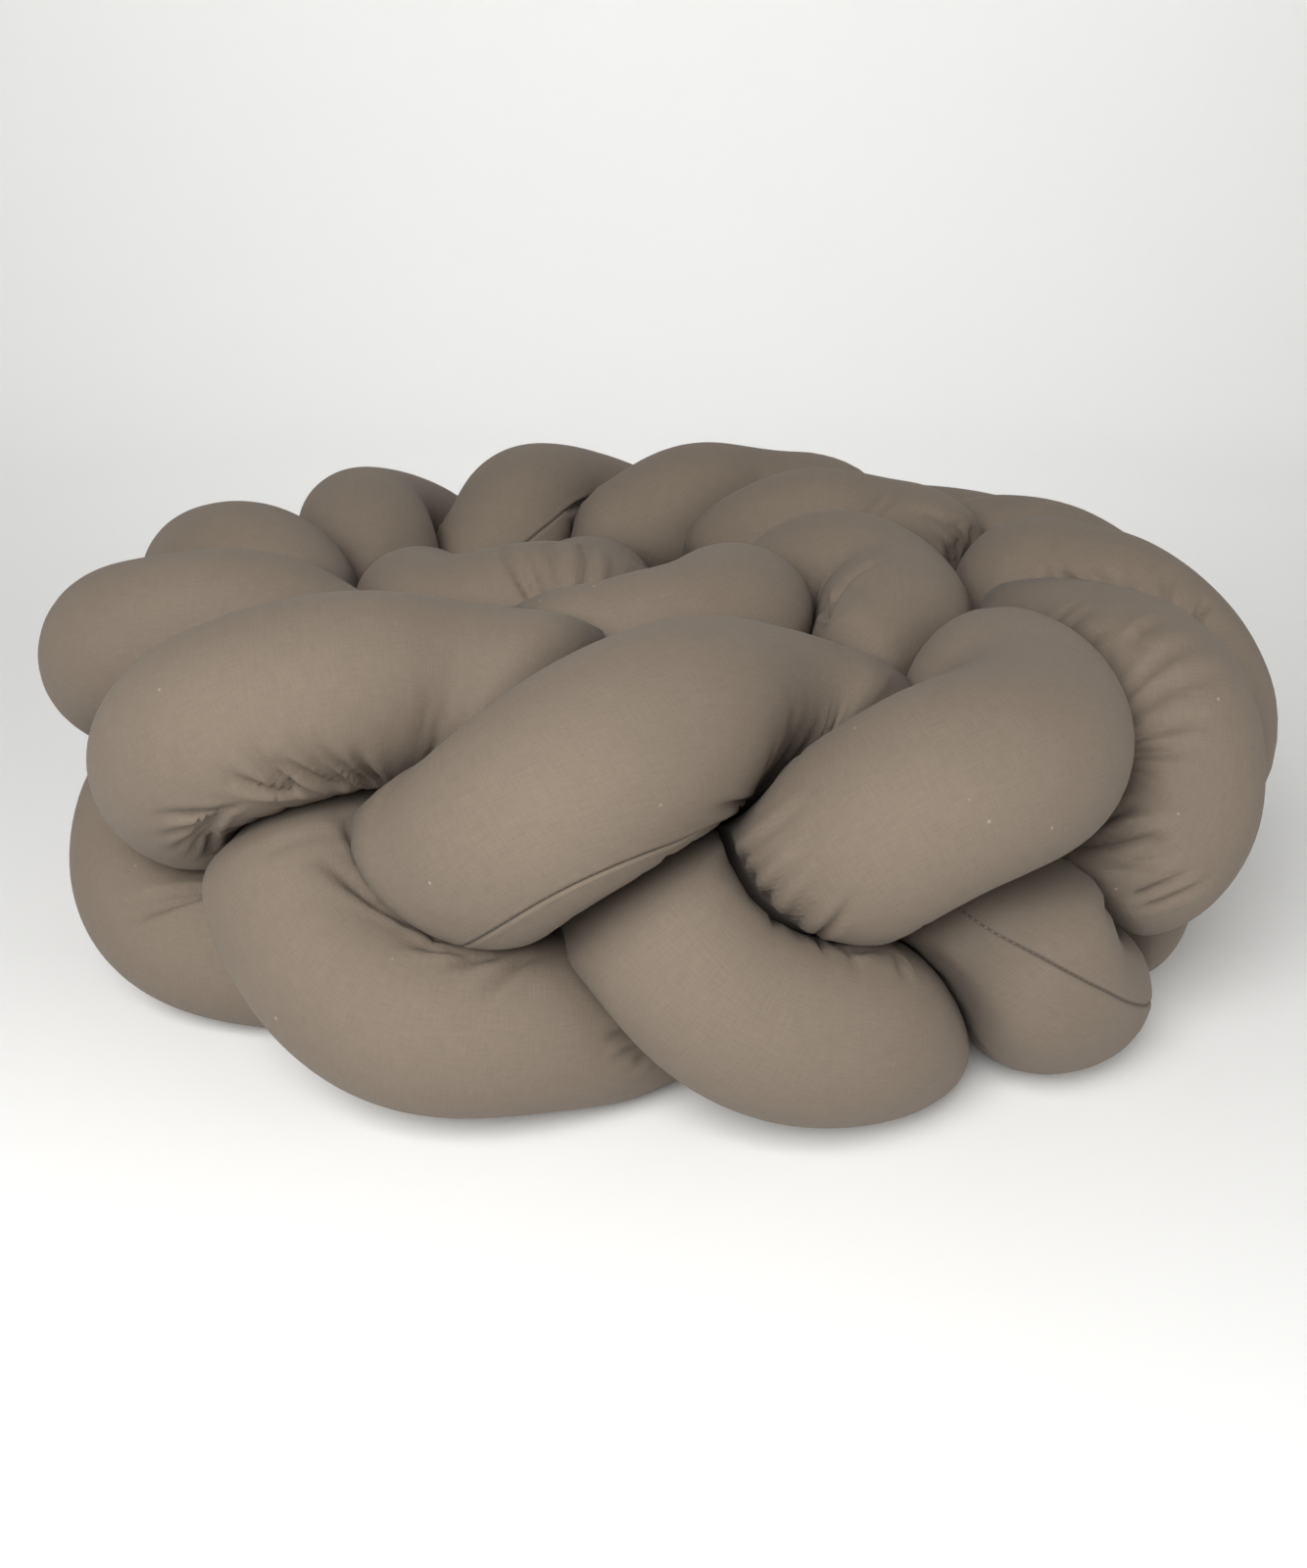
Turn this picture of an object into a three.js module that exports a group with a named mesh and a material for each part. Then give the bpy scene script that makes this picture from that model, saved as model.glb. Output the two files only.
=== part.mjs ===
// A braided crib bumper. Three stuffed cloth tubes are worked into a flat three-strand plait, and
// the plait stands on its edge on the floor, coiled into a spiral of about one and a half turns.
// Millimetres, +Z up, origin on the floor under the middle of the coil.
import * as THREE from "three";

// Sizes of one tube
const TUBE_RADIUS = 41; // free radius, which sets the girth that the cloth keeps
const CLEARANCE = 1.4; // gap kept between two tubes that press on each other
const EDGE_ROUNDING = 7; // how softly a pressed flat runs into the round of the tube
const END_LENGTH = 46; // length of the rounded, gathered end
const SLIMMEST = 0.6; // least and most free radius of a pressed section, in tube radii
const WIDEST = 1.38;

// Sizes of the plait
const STRANDS = 3;
const HALF_THICKNESS = 40; // swing of a strand through the plait, in and out of the ring
const START = -1.5; // first and last place along the plait, counted in crossings
const FINISH = 15.5;
const POLE = new THREE.Vector3(0.5, 0.5, 0); // where the coil turns about, off the middle of its outline

// Settling: the middle lines push each other apart and keep their length and their place. Two
// stretches of one tube push only when they are more than apart millimetres from each other along it.
const SETTLE = {
  step: 14, near: 64, apart: 140, lowest: 36, rounds: 80, push: 0.35, stretch: 0.25, bend: 0.15, hold: 0.08,
};

// Mesh of a tube
const RING_SPACING = 21;
const SIDES = 16;
const SITE_SPACING = 8; // spacing of the points that stand for a neighbour's middle line
const OWN_REACH = 30; // nearer than this along itself, a tube doesn't press on itself
const OWN_SHARE = 0.92; // how much of the way to the middle of its own bend a tube may reach
const FARTHEST = 500; // stands for a direction in which nothing presses on a tube
const FACING = 1e-6; // least cosine at which a direction counts as facing something
const HEADING_REACH = 4; // half the stretch from which a tube's heading is taken
const HALVINGS = 18; // steps in which the free radius is narrowed down
const END_SHARES = [0.12, 0.3, 0.5, 0.72, 1]; // places of the rings that round an end

// One row for each strand that passes over the top edge of the plait, from the inner end of the
// coil to the outer one. turn and radius place the plait's middle on the floor plan, height is the
// height of its middle, lean tips its top edge outwards, spread is half the width between the
// middle lines of its upper and lower strands, and shear is how far the top edge runs ahead of the
// middle. Angles are degrees, counter-clockwise from +X.
const COLUMNS = ["over", "turn", "radius", "height", "lean", "spread", "shear"];
const ROWS = [
  [-2, -300, 35, 70, 0, 24, 0],
  [-1, -232, 72, 78, 0, 38, 3],
  [0, -154, 85, 89, 4, 54, 5],
  [1, -79, 79, 92, 4, 57, 2],
  [2, -10, 114, 86, 10, 54, 3],
  [3, 35, 148, 90, 8, 56, 3],
  [4, 77, 182, 99, 1, 60, 3],
  [5, 111, 211, 99, -1, 60, 4],
  [6, 142, 226, 98, -1, 60, 4],
  [7, 172, 229, 98, 0, 60, 2],
  [8, 202, 227, 101, 2, 60, -6],
  [9, 236, 213, 106, 3, 60, -19],
  [10, 278, 197, 99, -5, 60, -22],
  [11, 316, 205, 84, 16, 54, -19],
  [12, 331, 194, 80, 25, 48, -8],
  [13, 351, 188, 84, 24, 52, 4],
  [14, 377, 212, 78, 8, 53, 3],
  [15, 404, 246, 73, 0, 48, 3],
  [16, 430, 274, 70, 0, 24, 3],
];

const PLACES_PER_CROSSING = 24; // points worked out on a middle line
const CROSSING_STEP = 1e-3; // share of a crossing over which the plait's heading is taken

const CLOTH = new THREE.MeshStandardMaterial({ color: 0x9b8f80, roughness: 0.92, metalness: 0 });

const radians = THREE.MathUtils.degToRad;
const UP = new THREE.Vector3(0, 0, 1);

// The value of one column at a place along the plait, on a smooth curve through the rows
function column(name, at) {
  const c = COLUMNS.indexOf(name);
  const last = ROWS.length - 1;
  const value = (i) => ROWS[Math.min(Math.max(i, 0), last)][c];
  const slope = (i) => (i <= 0 ? value(1) - value(0) : i >= last ? value(last) - value(last - 1)
    : (value(i + 1) - value(i - 1)) / 2);
  const i = Math.min(Math.max(Math.floor(at - ROWS[0][0]), 0), last - 1);
  const t = at - ROWS[0][0] - i;
  const s = 1 - t;
  return value(i) * s * s * (1 + 2 * t) + value(i + 1) * t * t * (3 - 2 * t)
    + slope(i) * t * s * s - slope(i + 1) * t * t * s;
}

// The plait's middle on the floor plan
function middle(at) {
  const turn = radians(column("turn", at));
  const radius = column("radius", at);
  return new THREE.Vector3(radius * Math.cos(turn), radius * Math.sin(turn), 0).add(POLE);
}

// A point of one strand's middle line: over, under and through the plait in turn
function strandPoint(strand, at) {
  const phase = Math.PI / 2 + (2 * Math.PI * (at - strand)) / STRANDS;
  const along = middle(at + CROSSING_STEP).sub(middle(at - CROSSING_STEP)).normalize();
  const out = new THREE.Vector3(along.y, -along.x, 0);
  const lean = radians(column("lean", at));
  const width = UP.clone().multiplyScalar(Math.cos(lean)).addScaledVector(out, Math.sin(lean));
  const through = out.clone().multiplyScalar(Math.cos(lean)).addScaledVector(UP, -Math.sin(lean));
  return middle(at)
    .setZ(column("height", at))
    .addScaledVector(width, column("spread", at) * Math.sin(phase))
    .addScaledVector(along, column("shear", at) * Math.sin(phase))
    .addScaledVector(through, HALF_THICKNESS * Math.sin(2 * phase));
}

function lengths(line) {
  const sums = [0];
  for (let i = 1; i < line.length; i++) sums.push(sums[i - 1] + line[i].distanceTo(line[i - 1]));
  return sums;
}

// The point of a line at a length along it
function pointAt(line, sums, s) {
  let i = 1;
  while (i < line.length - 1 && sums[i] < s) i++;
  const t = (s - sums[i - 1]) / (sums[i] - sums[i - 1]);
  return line[i - 1].clone().lerp(line[i], t);
}

// The same line with evenly spaced points
function respaced(line, spacing) {
  const sums = lengths(line);
  const total = sums[sums.length - 1];
  const count = Math.max(1, Math.round(total / spacing));
  return Array.from({ length: count + 1 }, (_, i) => pointAt(line, sums, (total * i) / count));
}

// One pass of rounding: each inner point moves halfway to the middle of its neighbours
function rounded(line) {
  return line.map((p, i) => (i === 0 || i === line.length - 1 ? p.clone()
    : p.clone().multiplyScalar(0.5).addScaledVector(line[i - 1], 0.25).addScaledVector(line[i + 1], 0.25)));
}

// Lets the middle lines settle against each other, above the floor
function settled(lines) {
  const paths = lines.map((line) => respaced(line, SETTLE.step));
  const homes = paths.map((path) => path.map((p) => p.clone()));
  const spans = paths.map((path) => path.slice(1).map((p, i) => p.distanceTo(path[i])));
  const points = paths.flatMap((path, strand) => path.map((p, i) => ({ p, strand, i })));
  const pairs = [];
  points.forEach((a, m) => points.slice(m + 1).forEach((b) => {
    if (a.strand !== b.strand || Math.abs(a.i - b.i) * SETTLE.step >= SETTLE.apart) pairs.push([a, b]);
  }));
  for (let round = 0; round < SETTLE.rounds; round++) {
    for (const q of points) q.move = new THREE.Vector3();
    for (const [a, b] of pairs) {
      const apart = b.p.clone().sub(a.p);
      const gap = apart.length();
      if (gap >= SETTLE.near) continue;
      apart.multiplyScalar((SETTLE.push * (SETTLE.near - gap)) / (2 * gap));
      a.move.sub(apart);
      b.move.add(apart);
    }
    for (const q of points) q.p.add(q.move);
    paths.forEach((path, k) => {
      const pulls = path.map(() => new THREE.Vector3());
      spans[k].forEach((span, i) => {
        const link = path[i + 1].clone().sub(path[i]);
        link.multiplyScalar((SETTLE.stretch * (link.length() - span)) / link.length());
        pulls[i].add(link);
        pulls[i + 1].sub(link);
      });
      path.forEach((p, i) => p.add(pulls[i]));
      const bends = path.map(() => new THREE.Vector3());
      for (let i = 1; i < path.length - 1; i++) {
        const bend = path[i - 1].clone().add(path[i + 1]).multiplyScalar(0.5).sub(path[i]);
        bends[i].addScaledVector(bend, SETTLE.bend);
        bends[i - 1].addScaledVector(bend, -SETTLE.bend / 2);
        bends[i + 1].addScaledVector(bend, -SETTLE.bend / 2);
      }
      path.forEach((p, i) => {
        p.add(bends[i]).lerp(homes[k][i], SETTLE.hold);
        p.z = Math.max(p.z, SETTLE.lowest);
      });
    });
  }
  return paths.map((path) => rounded(rounded(path)));
}

// Least of two lengths, with the corner between them rounded
function softLeast(free, limit) {
  const h = THREE.MathUtils.clamp(0.5 + (0.5 * (limit - free)) / EDGE_ROUNDING, 0, 1);
  return limit * (1 - h) + free * h - EDGE_ROUNDING * h * (1 - h);
}

// Where the rings stand along a tube, and how far each is drawn in at the gathered ends
function stations(total) {
  const ends = END_SHARES.map((share) => ({
    s: END_LENGTH * (1 - Math.cos((share * Math.PI) / 2)),
    full: Math.sin((share * Math.PI) / 2),
  }));
  const count = Math.round((total - 2 * END_LENGTH) / RING_SPACING);
  const body = Array.from({ length: count - 1 }, (_, i) => ({
    s: END_LENGTH + ((total - 2 * END_LENGTH) * (i + 1)) / count,
    full: 1,
  }));
  return [...ends, ...body, ...ends.map(({ s, full }) => ({ s: total - s, full })).reverse()];
}

// How far a tube can reach from a point of its middle line in one direction
function reach(from, direction, sites) {
  let least = FARTHEST;
  for (const { p, share } of sites) {
    const dx = p.x - from.x;
    const dy = p.y - from.y;
    const dz = p.z - from.z;
    const toward = dx * direction.x + dy * direction.y + dz * direction.z;
    if (toward > FACING) least = Math.min(least, (share * (dx * dx + dy * dy + dz * dz)) / (2 * toward));
  }
  return least - CLEARANCE / 2;
}

// The rings of a tube, with one more station midway between each two and twice the directions, so
// that each corner of the mesh knows the least reach in the cells around it
function rings(lines, strand) {
  const line = lines[strand];
  const sums = lengths(line);
  const total = sums[sums.length - 1];
  const others = lines.filter((_, k) => k !== strand).flatMap((l) => respaced(l, SITE_SPACING));
  const sites = others.map((p) => ({ p, share: 1, s: FARTHEST + total }));
  respaced(line, SITE_SPACING).forEach((p, i, all) => {
    sites.push({ p, share: OWN_SHARE, s: (total * i) / (all.length - 1) });
  });
  const coarse = stations(total);
  const fine = coarse.flatMap((now, i) => {
    const next = coarse[i + 1];
    return next ? [now, { s: (now.s + next.s) / 2, full: now.full }] : [now];
  });
  let side = UP;
  for (const ring of fine) {
    ring.at = pointAt(line, sums, ring.s);
    const along = pointAt(line, sums, Math.min(ring.s + HEADING_REACH, total));
    along.sub(pointAt(line, sums, Math.max(ring.s - HEADING_REACH, 0))).normalize();
    side = side.clone().addScaledVector(along, -side.dot(along)).normalize();
    const across = along.clone().cross(side);
    const pressing = sites.filter((site) => Math.abs(site.s - ring.s) > OWN_REACH);
    ring.directions = Array.from({ length: 2 * SIDES }, (_, j) => {
      const angle = (Math.PI * j) / SIDES;
      return side.clone().multiplyScalar(Math.cos(angle)).addScaledVector(across, Math.sin(angle));
    });
    ring.reaches = ring.directions.map((d) => reach(ring.at, d, pressing));
  }
  return fine.filter((_, i) => i % 2 === 0).map((ring, i) => {
    const around = fine.slice(Math.max(0, 2 * i - 1), 2 * i + 2);
    const directions = ring.directions.filter((_, j) => j % 2 === 0);
    const limits = directions.map((_, j) => Math.min(...around.flatMap((r) => [
      r.reaches[(2 * j + 2 * SIDES - 1) % (2 * SIDES)], r.reaches[2 * j], r.reaches[2 * j + 1]])));
    const floors = directions.map((d) => (d.z < -FACING ? ring.at.z / -d.z : FARTHEST));
    const free = freeRadius(floors.map((floor, j) => Math.min(floor, ring.reaches[2 * j])));
    return { at: ring.at, full: ring.full, directions, limits, floors, free };
  });
}

// The free radius that leaves a pressed section with the girth of the whole tube
function freeRadius(limits) {
  const girth = 2 * Math.PI * TUBE_RADIUS;
  let low = SLIMMEST * TUBE_RADIUS;
  let high = WIDEST * TUBE_RADIUS;
  for (let i = 0; i < HALVINGS; i++) {
    const tried = (low + high) / 2;
    let round = 0;
    limits.forEach((limit, j) => {
      const a = Math.min(tried, limit);
      const b = Math.min(tried, limits[(j + 1) % SIDES]);
      round += Math.sqrt(a * a + b * b - 2 * a * b * Math.cos((2 * Math.PI) / SIDES));
    });
    if (round > girth) high = tried;
    else low = tried;
  }
  return (low + high) / 2;
}

// The closed surface of one stuffed tube
function tubeGeometry(lines, strand) {
  const all = rings(lines, strand);
  const position = [];
  all.forEach((ring, i) => {
    const near = all.slice(Math.max(0, i - 1), i + 2);
    const free = (near.reduce((sum, r) => sum + r.free, 0) / near.length) * ring.full;
    ring.directions.forEach((d, j) => {
      const radius = Math.min(softLeast(free, ring.limits[j]), ring.floors[j]);
      const p = ring.at.clone().addScaledVector(d, radius);
      position.push(p.x, p.y, Math.max(p.z, 0));
    });
  });
  const index = [];
  const last = (all.length - 1) * SIDES;
  const tips = [all.length * SIDES, all.length * SIDES + 1];
  position.push(...lines[strand][0].toArray(), ...lines[strand].at(-1).toArray());
  for (let j = 0; j < SIDES; j++) {
    const next = (j + 1) % SIDES;
    for (let row = 0; row < last; row += SIDES) {
      index.push(row + j, row + next, row + SIDES + next, row + j, row + SIDES + next, row + SIDES + j);
    }
    index.push(tips[0], next, j, tips[1], last + j, last + next);
  }
  const geometry = new THREE.BufferGeometry();
  geometry.setAttribute("position", new THREE.Float32BufferAttribute(position, 3));
  geometry.setIndex(index);
  return geometry;
}

const places = Math.round((FINISH - START) * PLACES_PER_CROSSING);
const lines = Array.from({ length: STRANDS }, (_, strand) => Array.from({ length: places + 1 },
  (_, i) => strandPoint(strand, START + ((FINISH - START) * i) / places)));
const settledLines = settled(lines);

const bumper = new THREE.Group();
settledLines.forEach((_, strand) => {
  const tube = new THREE.Mesh(tubeGeometry(settledLines, strand), CLOTH);
  tube.name = `tube_${strand + 1}`;
  bumper.add(tube);
});

export default bumper;
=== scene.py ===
"""The looks of a braided crib bumper: three stuffed cotton tubes, plaited and coiled on the floor.

The tubes' middle lines follow the plait's table and settle against each other. Each section is then
stuffed: it keeps its girth and presses flat where a neighbour or the floor stops it. Cloth that is
left over on the inside of a bend is gathered into creases. Metres, +Z up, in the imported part's frame.
"""

import math

import bpy
import numpy as np
from bpy.props import FloatProperty, FloatVectorProperty, IntProperty, PointerProperty
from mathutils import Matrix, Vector


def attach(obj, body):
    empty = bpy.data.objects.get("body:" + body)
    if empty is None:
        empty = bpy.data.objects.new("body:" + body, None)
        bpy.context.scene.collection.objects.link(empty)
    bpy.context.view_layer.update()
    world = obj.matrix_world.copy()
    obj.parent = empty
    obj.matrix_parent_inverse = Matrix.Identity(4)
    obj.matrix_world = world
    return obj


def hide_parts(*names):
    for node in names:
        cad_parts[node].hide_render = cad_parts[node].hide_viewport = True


bl_info = {
    "name": "Braided Crib Bumper",
    "version": (1, 0, 0),
    "blender": (4, 5, 0),
    "location": "View3D > Sidebar > Bumper",
    "description": "Builds the stuffed, plaited tubes of a crib bumper, their seams and a plain stage",
    "category": "Object",
}

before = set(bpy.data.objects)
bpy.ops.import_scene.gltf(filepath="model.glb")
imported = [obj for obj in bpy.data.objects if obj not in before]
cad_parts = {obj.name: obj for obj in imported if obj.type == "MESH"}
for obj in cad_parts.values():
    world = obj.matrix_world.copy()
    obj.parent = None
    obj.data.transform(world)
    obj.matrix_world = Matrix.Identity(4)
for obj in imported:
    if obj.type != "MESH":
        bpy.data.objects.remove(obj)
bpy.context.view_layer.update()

MM = 0.001
TURN = 2 * math.pi
BODY = "root"
TUBES = ("tube_1", "tube_2", "tube_3")

# One row for each strand that passes over the top edge of the plait, from the inner end of the coil
# to the outer one. turn and radius place the plait's middle on the floor plan, height is the height
# of its middle, lean tips its top edge outwards, spread is half the width between the middle lines of
# its upper and lower strands, and shear is how far the top edge runs ahead of the middle. Angles are
# degrees, counter-clockwise from +X, and lengths are millimetres.
COLUMNS = ("over", "turn", "radius", "height", "lean", "spread", "shear")
ROWS = np.array([
    (-2, -300, 35, 70, 0, 24, 0),
    (-1, -232, 72, 78, 0, 38, 3),
    (0, -154, 85, 89, 4, 54, 5),
    (1, -79, 79, 92, 4, 57, 2),
    (2, -10, 114, 86, 10, 54, 3),
    (3, 35, 148, 90, 8, 56, 3),
    (4, 77, 182, 99, 1, 60, 3),
    (5, 111, 211, 99, -1, 60, 4),
    (6, 142, 226, 98, -1, 60, 4),
    (7, 172, 229, 98, 0, 60, 2),
    (8, 202, 227, 101, 2, 60, -6),
    (9, 236, 213, 106, 3, 60, -19),
    (10, 278, 197, 99, -5, 60, -22),
    (11, 316, 205, 84, 16, 54, -19),
    (12, 331, 194, 80, 25, 48, -8),
    (13, 351, 188, 84, 24, 52, 4),
    (14, 377, 212, 78, 8, 53, 3),
    (15, 404, 246, 73, 0, 48, 3),
    (16, 430, 274, 70, 0, 24, 3),
], float)

# The plait's first and last place, counted in crossings
START = -1.5
FINISH = 15.5
POLE = np.array([0.5, 0.5, 0.0]) * MM  # the point on the floor that the coil turns about
PLACES_PER_CROSSING = 24
CROSSING_STEP = 1e-3  # half the stretch over which the plait's heading is taken, in crossings
TINY = 1e-12  # stands in for a length of nothing in a division

# Settling of the middle lines
SETTLE_STEP = 14 * MM  # spacing of the points that settle
SETTLE_NEAR = 64 * MM  # points of two lines push each other apart when they are closer than this
SETTLE_APART = 140 * MM  # points of one line do so too, from this far apart along it
SETTLE_LOWEST = 36 * MM
SETTLE_ROUNDS = 80
# How much of each fault one round puts right: closeness, stretch, sharp bends and drift
PUSH = 0.35
STRETCH = 0.25
BEND = 0.15
HOLD = 0.08

# Small shifts of a tube's middle line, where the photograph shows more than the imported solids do: the
# tube, the place along its line, how far along it the shift reaches, and the shift, in millimetres.
SHIFTS = (
    (2, 2290, 32, (-8, 0, 13)),
    (2, 2390, 28, (10, 0, -10)),
    (0, 2565, 36, (14, 0, -12)),
    (1, 2275, 22, (-6, 0, -8)),
    (1, 2055, 26, (10, 0, 0)),
)

# Pressing of the sections
SITE_SPACING = 4 * MM  # spacing of the points that stand for a neighbour's middle line
SITE_RANGE = 125 * MM  # a point further off than this presses on nothing
OWN_REACH = 30 * MM  # a tube's own points press on it only from further along it than this
OWN_SHARE = 0.92  # how much of the room between its own turns a tube takes
FARTHEST = 500 * MM  # the reach where nothing is in the way
FACING = 1e-6  # less than this towards a point or the floor is away from it
WIDEST = 1.38  # the widest reach, in radii of a free tube
SHAPE_SPACING = 3.5 * MM  # spacing of the sections that are stuffed
SHAPE_SIDES = 96
MET_WITHIN = 0.4 * MM  # cloth this close to where a neighbour stops it touches it

# Stuffing of the sections: how much of each fault one round puts right, and its limits
SECTION_ROUNDS = 220
SECTION_RATE = 0.3  # uneven bending around the section
GIRTH_RATE = 0.3
LENGTHWISE = 0.2  # unevenness from one section to the next
STEEPEST = 0.6  # least cosine between a point's normal and its radius that counts
FREE = 1e-6  # a point further than this from what stops it is free
THINNEST = 1e-5
END_RINGS = 22  # rings of a gathered end
FULL = 0.98  # a section less full than this is part of a gathered end


class BumperTubeSizes(bpy.types.PropertyGroup):
    """Sizes of one stuffed tube."""

    radius: FloatProperty(
        name="Radius", description="Radius of a tube that nothing presses on",
        default=41 * MM, unit="LENGTH")
    swing: FloatProperty(
        name="Swing", description="How far a strand swings in and out of the plait",
        default=40 * MM, unit="LENGTH")
    clearance: FloatProperty(
        name="Clearance", description="Gap left between two tubes that press on each other",
        default=0.5 * MM, unit="LENGTH")
    end_length: FloatProperty(
        name="End length", description="Length of the rounded, gathered end",
        default=46 * MM, unit="LENGTH")
    ring_spacing: FloatProperty(
        name="Ring spacing", description="Spacing of the mesh rings along a tube",
        default=4.3 * MM, unit="LENGTH")
    sides: IntProperty(name="Sides", description="Faces around a tube", default=104, min=24)


class BumperGathers(bpy.types.PropertyGroup):
    """Creases of the cloth that is left over inside a bend."""

    pitch: FloatProperty(
        name="Pitch", description="Spacing of the main creases, along the flat cloth",
        default=22 * MM, unit="LENGTH")
    fine_pitch: FloatProperty(
        name="Fine pitch", description="Spacing of the fine creases, along the flat cloth",
        default=11 * MM, unit="LENGTH")
    depth: FloatProperty(
        name="Depth", description="Depth of the main creases", default=2.6 * MM, unit="LENGTH")
    slack: FloatProperty(
        name="Slack", description="Share of the cloth's length that is spare where creases begin",
        default=0.12)
    nearness: FloatProperty(
        name="Nearness", description="How far creases reach from where two tubes meet",
        default=15 * MM, unit="LENGTH")
    unevenness: FloatProperty(
        name="Unevenness", description="Height of the soft lumps of the filling",
        default=0.9 * MM, unit="LENGTH")
    seed: IntProperty(name="Seed", description="Seed of the creases", default=7)


class BumperSeamSizes(bpy.types.PropertyGroup):
    """Sizes of the lengthwise seam."""

    groove: FloatProperty(
        name="Groove", description="Depth of the seam's groove", default=1.0 * MM, unit="LENGTH")
    pitch: FloatProperty(
        name="Stitch pitch", description="Spacing of the stitches", default=3.2 * MM, unit="LENGTH")
    length: FloatProperty(
        name="Stitch length", description="Length of one stitch", default=2.3 * MM, unit="LENGTH")
    thread: FloatProperty(
        name="Thread", description="Thickness of the thread", default=0.45 * MM, unit="LENGTH")
    sink: FloatProperty(
        name="Sink", description="How far a stitch lies below the cloth", default=0.1 * MM, unit="LENGTH")


class BumperClothLook(bpy.types.PropertyGroup):
    """Colours and weave of the cloth."""

    colour: FloatVectorProperty(
        name="Colour", description="Colour of the cloth",
        default=(0.178, 0.139, 0.104), subtype="COLOR", size=3)
    shade: FloatVectorProperty(
        name="Shade", description="Colour between the threads",
        default=(0.117, 0.09, 0.066), subtype="COLOR", size=3)
    lint: FloatVectorProperty(
        name="Lint", description="Colour of the stray fibres",
        default=(0.55, 0.5, 0.44), subtype="COLOR", size=3)
    thread: FloatVectorProperty(
        name="Thread", description="Colour of the sewing thread",
        default=(0.2, 0.165, 0.135), subtype="COLOR", size=3)
    # Painted shade: how much darker the cloth's colour is drawn where tubes press on each other
    painted_contact_shade: FloatProperty(
        name="Painted contact shade", description="How much darker the cloth is where tubes press on each other",
        default=0.5)
    weave: FloatProperty(
        name="Weave", description="Spacing of the threads", default=0.62 * MM, unit="LENGTH")
    sheen: FloatProperty(
        name="Sheen", description="Strength of the soft sheen", default=0.04, min=0, max=1)


class BumperStage(bpy.types.PropertyGroup):
    """Floor, wall, lights and camera."""

    floor: FloatVectorProperty(
        name="Floor", description="Colour of the floor and wall",
        default=(0.84, 0.84, 0.83), subtype="COLOR", size=3)
    camera: FloatVectorProperty(
        name="Camera", description="Place of the camera",
        default=(-0.0025, -0.7265, 0.366), subtype="TRANSLATION", size=3)
    pitch: FloatProperty(
        name="Pitch", description="How far the camera looks down",
        default=math.radians(23.1), subtype="ANGLE")
    focal_pixels: FloatProperty(
        name="Focal length", description="Focal length in pixels of the photograph", default=1428)
    frame_height: IntProperty(
        name="Frame height", description="Height of the photograph in pixels", default=1600)
    key: FloatProperty(name="Key", description="Power of the key light, in watts", default=22.5)
    fill: FloatProperty(name="Fill", description="Power of the fill light, in watts", default=7)
    top: FloatProperty(name="Top", description="Power of the top light, in watts", default=0.5)
    backdrop: FloatProperty(
        name="Backdrop", description="Power of the light on the wall behind, in watts", default=27)
    around: FloatProperty(name="Around", description="Strength of the light all around", default=0.04)
    depth: FloatProperty(
        name="Depth", description="How far out the floor is level", default=1.5, unit="LENGTH")
    wall: FloatProperty(
        name="Wall", description="Height of the wall above the curve", default=2.4, unit="LENGTH")
    bend: FloatProperty(
        name="Bend", description="Radius in which the floor turns up into the wall",
        default=1.2, unit="LENGTH")


def unit(vectors):
    """The same vectors with length 1."""
    return vectors / np.maximum(np.linalg.norm(vectors, axis=-1, keepdims=True), TINY)


def smooth_step(low, high, x):
    """0 below low, 1 above high, and a smooth rise between them."""
    t = np.clip((x - low) / (high - low), 0, 1)
    return t * t * (3 - 2 * t)


def bowed(here, after, slope_here, slope_after, t):
    """A value between here and after, on a curve that has the given slopes at them."""
    s = 1 - t
    return (here * s * s * (1 + 2 * t) + after * t * t * (3 - 2 * t)
            + slope_here * t * s * s - slope_after * t * t * s)


def eased(before, here, after, beyond, t):
    """A value between here and after, on a smooth curve through four values in a row."""
    return bowed(here, after, (after - before) / 2, (beyond - here) / 2, t)


def sampled(field, rows):
    """Rows of a field at places between its own rows."""
    last = len(field) - 1
    rows = np.clip(rows, 0, last - 0.001)
    i = rows.astype(int)
    t = (rows - i)[:, None]
    return eased(field[np.maximum(i - 1, 0)], field[i], field[i + 1], field[np.minimum(i + 2, last)], t)


def around_seam(values, angles):
    """Values that are known in even directions, worked out at other angles around each ring."""
    count = values.shape[1]
    place = (angles * count / TURN) % count
    i = np.floor(place).astype(int) % count
    t = place - np.floor(place)
    rows = np.arange(len(values))[:, None]
    return eased(*(values[rows, (i + k) % count] for k in (-1, 0, 1, 2)), t)


def blurred(field, along, around):
    """A field on a tube's grid, softened by so many rings along it and so many columns around it."""
    pad = int(4 * along) + 1
    whole = np.pad(field, ((pad, pad), (0, 0)), mode="edge")
    rows = np.fft.fftfreq(whole.shape[0])[:, None] * along
    columns = np.fft.fftfreq(whole.shape[1])[None, :] * around
    share = np.exp(-2 * math.pi ** 2 * (rows ** 2 + columns ** 2))
    return np.fft.ifft2(np.fft.fft2(whole) * share).real[pad:-pad]


def even_angles(count):
    """So many even steps around a section."""
    return np.arange(count) * TURN / count


def column(name, at):
    """One column of ROWS at places along the plait, on a smooth curve through the rows."""
    values = ROWS[:, COLUMNS.index(name)]
    slopes = np.gradient(values)
    i = np.clip(np.floor(at - ROWS[0, 0]).astype(int), 0, len(values) - 2)
    return bowed(values[i], values[i + 1], slopes[i], slopes[i + 1], at - ROWS[0, 0] - i)


def middle(at):
    """The plait's middle on the floor plan."""
    turn = np.radians(column("turn", at))
    radius = column("radius", at) * MM
    return np.stack([radius * np.cos(turn), radius * np.sin(turn), 0 * at], 1) + POLE


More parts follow.
